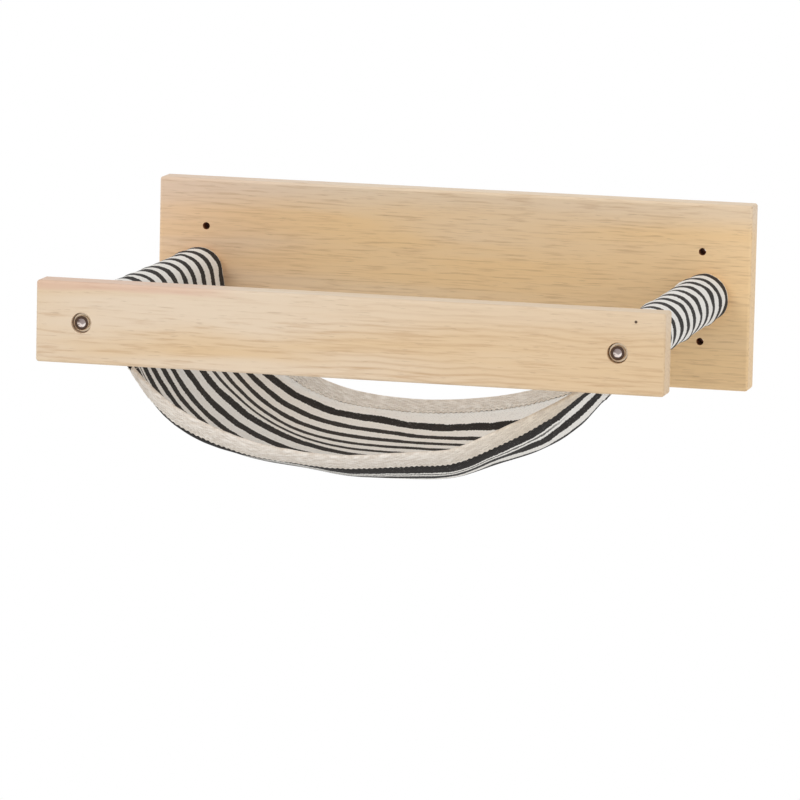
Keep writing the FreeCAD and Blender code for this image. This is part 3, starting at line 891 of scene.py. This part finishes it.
class Tape:
    """Places on the tape round one hem."""

    def __init__(self, tape, drape, end):
        self.tape = tape
        self.drape = drape
        self.inward = -end
        self.hem = drape.middle + end * drape.half_width
        reach = drape.free_span - tape.end_gap
        fine = np.linspace(-reach, reach, FINE_STEPS)
        run = run_along(drape.smooth_point(fine, self.hem, layer=0))
        self.length = run[-1]
        scallops = round(self.length / tape.scallop_pitch)
        self.along = np.linspace(0, self.length, scallops * SCALLOP_COLUMNS + 1)
        self.x = np.interp(self.along, run, fine)
        self.wave = np.cos(self.along / self.length * scallops * 2 * math.pi)
        uneven = wander(self.along / SCALLOP_DRIFT, end, seed=9.4)
        self.reach = tape.width + tape.scallop_depth * (0.5 * self.wave - 0.5 + 0.35 * uneven)
        # how far the cloth runs from the hem at each step inwards
        self.insets = np.linspace(0, tape.width, LEG_STEPS)
        self.runs = run_along(drape.point(self.x, self.hem + self.inward * self.insets[:, None])).T

    def leg_point(self, share, height):
        """Place on a leg; the share runs from the fold to the selvedge."""
        pairs = zip(self.reach, self.runs)
        inset = np.array([np.interp(share * far, run, self.insets) for far, run in pairs])
        return self.drape.point(self.x, self.hem + self.inward * inset, height)

    def fold_point(self, turn, radius):
        """Place on the fold, at a turn from the direction out of the hem."""
        back = self.drape.smooth_point(self.x, self.hem + self.inward * SLOPE_STEP)
        outward = self.drape.smooth_point(self.x, self.hem) - back
        outward = outward / np.linalg.norm(outward, axis=-1, keepdims=True)
        reach = radius * math.cos(turn) * FOLD_PRESS
        return self.drape.point(self.x, self.hem, radius * math.sin(turn)) + reach * outward

    def swell(self, share):
        """Extra height of the outer face, which is drawn in at each stitch."""
        row = 1 - self.tape.stitch_inset / self.tape.width
        near = hump(share, row, spread=0.11)
        body = math.sin(math.pi * (share / row)) if share < row else 0.0
        return self.tape.puff * (body - near * (0.55 - 0.35 * self.wave))


def tape_lines(strip):
    """Lines along the tape, round outside and back inside, with their places across it."""
    tape = strip.tape
    middle = strip.drape.cloth.thickness / 2 + tape.gap + tape.thickness / 2
    shares = np.linspace(1, 0, LEG_POINTS)
    turns = np.linspace(math.pi / 2, -math.pi / 2, FOLD_POINTS + 2)[1:-1]
    lines = []
    for face in (1, -1):
        height = middle + face * tape.thickness / 2
        fold = [(strip.fold_point(turn, height), -turn / math.pi * height) for turn in turns]
        legs = {1: [], -1: []}
        for up, leg in legs.items():
            for share in shares[::up]:
                swell = strip.swell(share) if face > 0 else 0.0
                across = -up * (share * tape.width + height / 2)
                leg.append((strip.leg_point(share, up * (height + swell)), across))
        lines.extend((legs[1] + fold + legs[-1])[::face])
    return lines


def tape_mesh(name, strip):
    """Closed mesh of the folded tape with a map along and across it."""
    lines, across = zip(*tape_lines(strip))
    half = len(lines) // 2
    grid = np.arange(len(lines) * len(strip.along)).reshape(len(lines), -1)
    faces = grid_faces(np.vstack([grid, grid[:1]]))
    for end in (grid[:, 0], grid[:, -1]):
        faces += grid_faces(np.stack([end[:half], end[: half - 1 : -1]], 1))
    mesh = new_mesh(name, lines, faces)
    outward_faces(mesh)
    set_uv(mesh, strip.along, np.array(across)[:, None])
    mesh.set_sharp_from_angle(angle=math.radians(55))
    return mesh


def outward_faces(mesh):
    """Turns the faces of a closed mesh outwards."""
    work = bmesh.new()
    work.from_mesh(mesh)
    bmesh.ops.recalc_face_normals(work, faces=work.faces)
    work.to_mesh(mesh)
    work.free()


def stitch_tree(material):
    """Node tree that lays stitches along curves."""
    tree = bpy.data.node_groups.new("hammock_stitches", "GeometryNodeTree")
    tree.interface.new_socket("Geometry", in_out="INPUT", socket_type="NodeSocketGeometry")
    for name in STITCH_INPUTS:
        tree.interface.new_socket(name, in_out="INPUT", socket_type="NodeSocketFloat")
    tree.interface.new_socket("Geometry", in_out="OUTPUT", socket_type="NodeSocketGeometry")
    ends = tree.nodes.new("NodeGroupInput")
    rows, stitch, spacing, thick = (Wire(tree, ends.outputs[index]) for index in range(4))
    node = partial(add_node, tree)
    points = node("GeometryNodeCurveToPoints", {"Curve": rows, "Length": spacing}, "Points", mode="LENGTH")
    heading = Wire(tree, points.socket.node.outputs["Rotation"])
    made = node("GeometryNodeMeshUVSphere", {"Segments": 8, "Rings": 6})
    size = node("ShaderNodeCombineXYZ", {0: thick * 0.5, 1: thick * 0.5, 2: stitch * 0.5})
    made = node("GeometryNodeTransform", {"Geometry": made, "Scale": size})
    most = (STITCH_LEAN, STITCH_LEAN, 0)
    limits = {0: [-part for part in most], 1: most, "Seed": 11}
    lean = node("FunctionNodeRandomValue", limits, data_type="FLOAT_VECTOR")
    turns = {"Rotation": heading, "Rotate By": lean}
    turned = node("FunctionNodeRotateRotation", turns, rotation_space="LOCAL")
    made = node("GeometryNodeInstanceOnPoints", {"Points": points, "Instance": made, "Rotation": turned})
    for kind in ("RealizeInstances", "SetShadeSmooth"):
        made = node("GeometryNode" + kind, {"Geometry": made})
    made = node("GeometryNodeSetMaterial", {"Geometry": made, "Material": material})
    fill(tree.nodes.new("NodeGroupOutput").inputs[0], made)
    return tree


def stitch_rows(settings):
    """Lines of stitches on each tape's two faces and on each seam above and below."""
    cloth, tape, thread = settings.hammock_cloth, settings.hammock_tape, settings.hammock_thread
    drape = Drape(cloth)
    rows = []
    height = cloth.thickness / 2 + tape.gap + tape.thickness
    share = 1 - tape.stitch_inset / tape.width
    for end in (-1, 1):
        strip = Tape(tape, drape, end)
        for face in (-1, 1):
            rows.append(strip.leg_point(share, face * (height + strip.swell(share))))
    edge = drape.half_width - thread.spacing
    y = drape.middle + np.linspace(-edge, edge, ROWS)
    for side in (-1, 1):
        for row in (thread.seam_row, thread.seam_row + thread.row_gap):
            for lift in (cloth.thickness / 2, -drape.layer - cloth.thickness / 2):
                rows.append(drape.point(side * (drape.half_span - row), y, lift))
    return rows


def curve_object(name, rows):
    curve = bpy.data.curves.new(name, "CURVE")
    curve.dimensions = "3D"
    for row in rows:
        spline = curve.splines.new("POLY")
        spline.points.add(len(row) - 1)
        spline.points.foreach_set("co", np.insert(row, 3, 1, axis=1).ravel())
    return add_object(name, curve)


def dress(node, material):
    """Gives a carried-over solid its material."""
    paint(frame["nodes"][node].data, material)


class HAMMOCK_OT_stage(bpy.types.Operator):
    """Set up the camera, the pale floor and the soft light"""

    bl_idname = "hammock.stage"
    bl_label = "Stage"

    def execute(self, context):
        stage = context.scene.hammock_stage
        context.scene.view_settings.view_transform = "Standard"
        self.camera(context, stage)
        self.floor(stage)
        self.world(context, stage)
        self.lamp("key_lamp", stage.key_place, stage.key_size, stage.key_light)
        self.lamp("fill_lamp", stage.fill_place, stage.fill_size, stage.fill_light)
        return {"FINISHED"}

    def camera(self, context, stage):
        data = bpy.data.cameras.new("photo_camera")
        data.lens = stage.lens
        view = Matrix.Translation(stage.camera_place)
        turns = (stage.camera_yaw, math.pi / 2 - stage.camera_pitch, stage.camera_roll)
        for turn, axis in zip(turns, "ZXZ"):
            view = view @ Matrix.Rotation(turn, 4, axis)
        context.scene.camera = add_object("photo_camera", data)
        context.scene.camera.matrix_world = view

    def floor(self, stage):
        """Wide pale disc that shows as plain white."""
        turns = np.linspace(0, 2 * math.pi, FLOOR_CORNERS, endpoint=False)
        level = np.full_like(turns, CAD_BOX[0].z - stage.floor_drop)
        rim = (stage.floor_reach * np.cos(turns), stage.floor_reach * np.sin(turns), level)
        mesh = new_mesh("floor", np.transpose(rim), [range(FLOOR_CORNERS)])
        finish = Finish("floor_white")
        plain = finish.node("ShaderNodeBsdfDiffuse", {"Color": FLOOR_GREY})
        white = finish.node("ShaderNodeEmission")
        mixed = finish.node("ShaderNodeMixShader", {0: seen_rays(finish.tree), 1: plain, 2: white})
        finish.tree.nodes.remove(finish.shader)
        fill(finish.tree.nodes["Material Output"].inputs["Surface"], mixed)
        floor = new_piece("floor", mesh, finish.material)

    def world(self, context, stage):
        world = bpy.data.worlds.new("studio")
        world.use_nodes = True
        light = world.node_tree.nodes["Background"]
        fill(light.inputs["Color"], WHITE)
        seen = seen_rays(world.node_tree)
        fill(light.inputs["Strength"], seen * (1 - stage.world_light) + stage.world_light)
        context.scene.world = world

    def lamp(self, name, place, size, power):
        data = bpy.data.lights.new(name, "AREA")
        data.shape = "DISK"
        data.size = size
        data.energy = power
        lamp = add_object(name, data)
        lamp.location = place
        aim = (CAD_BOX[0] + CAD_BOX[1]) / 2 - place
        lamp.rotation_euler = aim.to_track_quat("-Z", "Y").to_euler()


def seen_rays(tree):
    """1 for rays that see the white background: straight, in mirrors and through glass."""
    names = ("Is Camera Ray", "Is Glossy Ray", "Is Transmission Ray")
    straight, mirrored, through = (add_node(tree, "ShaderNodeLightPath", output=name) for name in names)
    return straight.maths("MAXIMUM", mirrored).maths("MAXIMUM", through)


class HAMMOCK_OT_woodwork(bpy.types.Operator):
    """Give the board, the rail and the rods their wood"""

    bl_idname = "hammock.woodwork"
    bl_label = "Woodwork"

    def execute(self, context):
        looks = context.scene.hammock_wood
        dress("back_board", board_wood(looks))
        dress("front_rail", rail_wood(looks))
        rods = rod_wood(looks)
        for side in SIDES:
            dress(side + "_rod", rods)
        return {"FINISHED"}


class HAMMOCK_OT_fasteners(bpy.types.Operator):
    """Give the bolts, washers and inserts their steel"""

    bl_idname = "hammock.fasteners"
    bl_label = "Fasteners"

    def execute(self, context):
        looks = context.scene.hammock_metal
        metals = {
            "bolt": steel("bolt_steel", looks.head, 0.22, looks),
            # the washers' warm tint is partly a painted reflection of the wood
            "washer": steel("washer_steel", looks.washer, 0.26),
            "insert": steel("insert_steel", looks.insert, 0.25),
        }
        for end in ENDS:
            for side in SIDES:
                for kind, material in metals.items():
                    dress("_".join((end, side, kind)), material)
        return {"FINISHED"}


class HAMMOCK_OT_canvas(bpy.types.Operator):
    """Make the striped canvas with its sleeves and turned-under flaps"""

    bl_idname = "hammock.canvas"
    bl_label = "Canvas"

    def execute(self, context):
        looks = context.scene.hammock_cloth
        drape = Drape(looks)
        mesh, cut_length = cloth_mesh(drape)
        piece = new_piece("striped_sling", mesh, striped_canvas(looks))
        wall = piece.modifiers.new("thickness", "SOLIDIFY")
        wall.thickness = looks.thickness
        wall.offset = 0
        piece.data = made_mesh(piece)
        piece.modifiers.clear()
        piece.data.set_sharp_from_angle(angle=math.radians(60))
        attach(piece, SLING)
        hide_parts("sling_canvas")
        return {"FINISHED"}


class HAMMOCK_OT_bindings(bpy.types.Operator):
    """Make the tape that is folded over the front and the rear hem"""

    bl_idname = "hammock.bindings"
    bl_label = "Hem tapes"

    def execute(self, context):
        looks = context.scene.hammock_tape
        drape = Drape(context.scene.hammock_cloth)
        material = cotton_tape(looks)
        for end, sign in zip(ENDS, (-1, 1)):
            strip = Tape(looks, drape, sign)
            piece = new_piece(end + "_tape", tape_mesh(end + "_tape", strip), material)
            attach(piece, SLING)
            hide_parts(end + "_binding")
            around = math.pi * (drape.cloth.thickness / 2 + looks.gap + looks.thickness / 2)
            flat = (2 * looks.width + around, float(strip.length))
        return {"FINISHED"}


class HAMMOCK_OT_stitching(bpy.types.Operator):
    """Sew the hems and the sleeves' seams"""

    bl_idname = "hammock.stitching"
    bl_label = "Stitching"

    def execute(self, context):
        looks = context.scene.hammock_thread
        material = sewing_thread(looks)
        guide = curve_object("stitch_guide", stitch_rows(context.scene))
        sewing = guide.modifiers.new("stitches", "NODES")
        sewing.node_group = stitch_tree(material)
        sizes = dict(zip(STITCH_INPUTS, (looks.stitch, looks.spacing, looks.thickness)))
        for item in sewing.node_group.interface.items_tree:
            if item.name in sizes:
                sewing[item.identifier] = sizes[item.name]
        mesh = made_mesh(guide)
        if not mesh.polygons:
            raise RuntimeError("no stitches were laid")
        bpy.data.objects.remove(guide)
        piece = new_piece("stitching", mesh, material)
        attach(piece, SLING)
        return {"FINISHED"}


class HAMMOCK_PT_panel(bpy.types.Panel):
    """Sizes, colours and steps of the hammock's dressing"""

    bl_idname = "HAMMOCK_PT_panel"
    bl_label = "Wall hammock"
    bl_space_type = "VIEW_3D"
    bl_region_type = "UI"
    bl_category = "Hammock"

    def draw(self, context):
        for operator in OPERATORS:
            self.layout.operator(operator.bl_idname)
        for name, group in GROUPS.items():
            box = self.layout.box()
            box.label(text=group.__doc__)
            for entry in group.__annotations__:
                box.prop(getattr(context.scene, name), entry)


GROUPS = {
    "hammock_cloth": HammockCloth,
    "hammock_tape": HammockTape,
    "hammock_thread": HammockThread,
    "hammock_wood": HammockWood,
    "hammock_metal": HammockMetal,
    "hammock_stage": HammockStage,
}

OPERATORS = (
    HAMMOCK_OT_stage,
    HAMMOCK_OT_woodwork,
    HAMMOCK_OT_fasteners,
    HAMMOCK_OT_canvas,
    HAMMOCK_OT_bindings,
    HAMMOCK_OT_stitching,
)

CLASSES = (*GROUPS.values(), *OPERATORS, HAMMOCK_PT_panel)


def register():
    for entry in CLASSES:
        bpy.utils.register_class(entry)
    for name, group in GROUPS.items():
        setattr(bpy.types.Scene, name, bpy.props.PointerProperty(type=group))


def unregister():
    for name in GROUPS:
        delattr(bpy.types.Scene, name)
    for entry in reversed(CLASSES):
        bpy.utils.unregister_class(entry)


def main():
    register()
    bpy.ops.hammock.stage()
    bpy.ops.hammock.woodwork()
    bpy.ops.hammock.fasteners()
    bpy.ops.hammock.canvas()
    bpy.ops.hammock.bindings()
    bpy.ops.hammock.stitching()


if __name__ == "__main__":
    main()
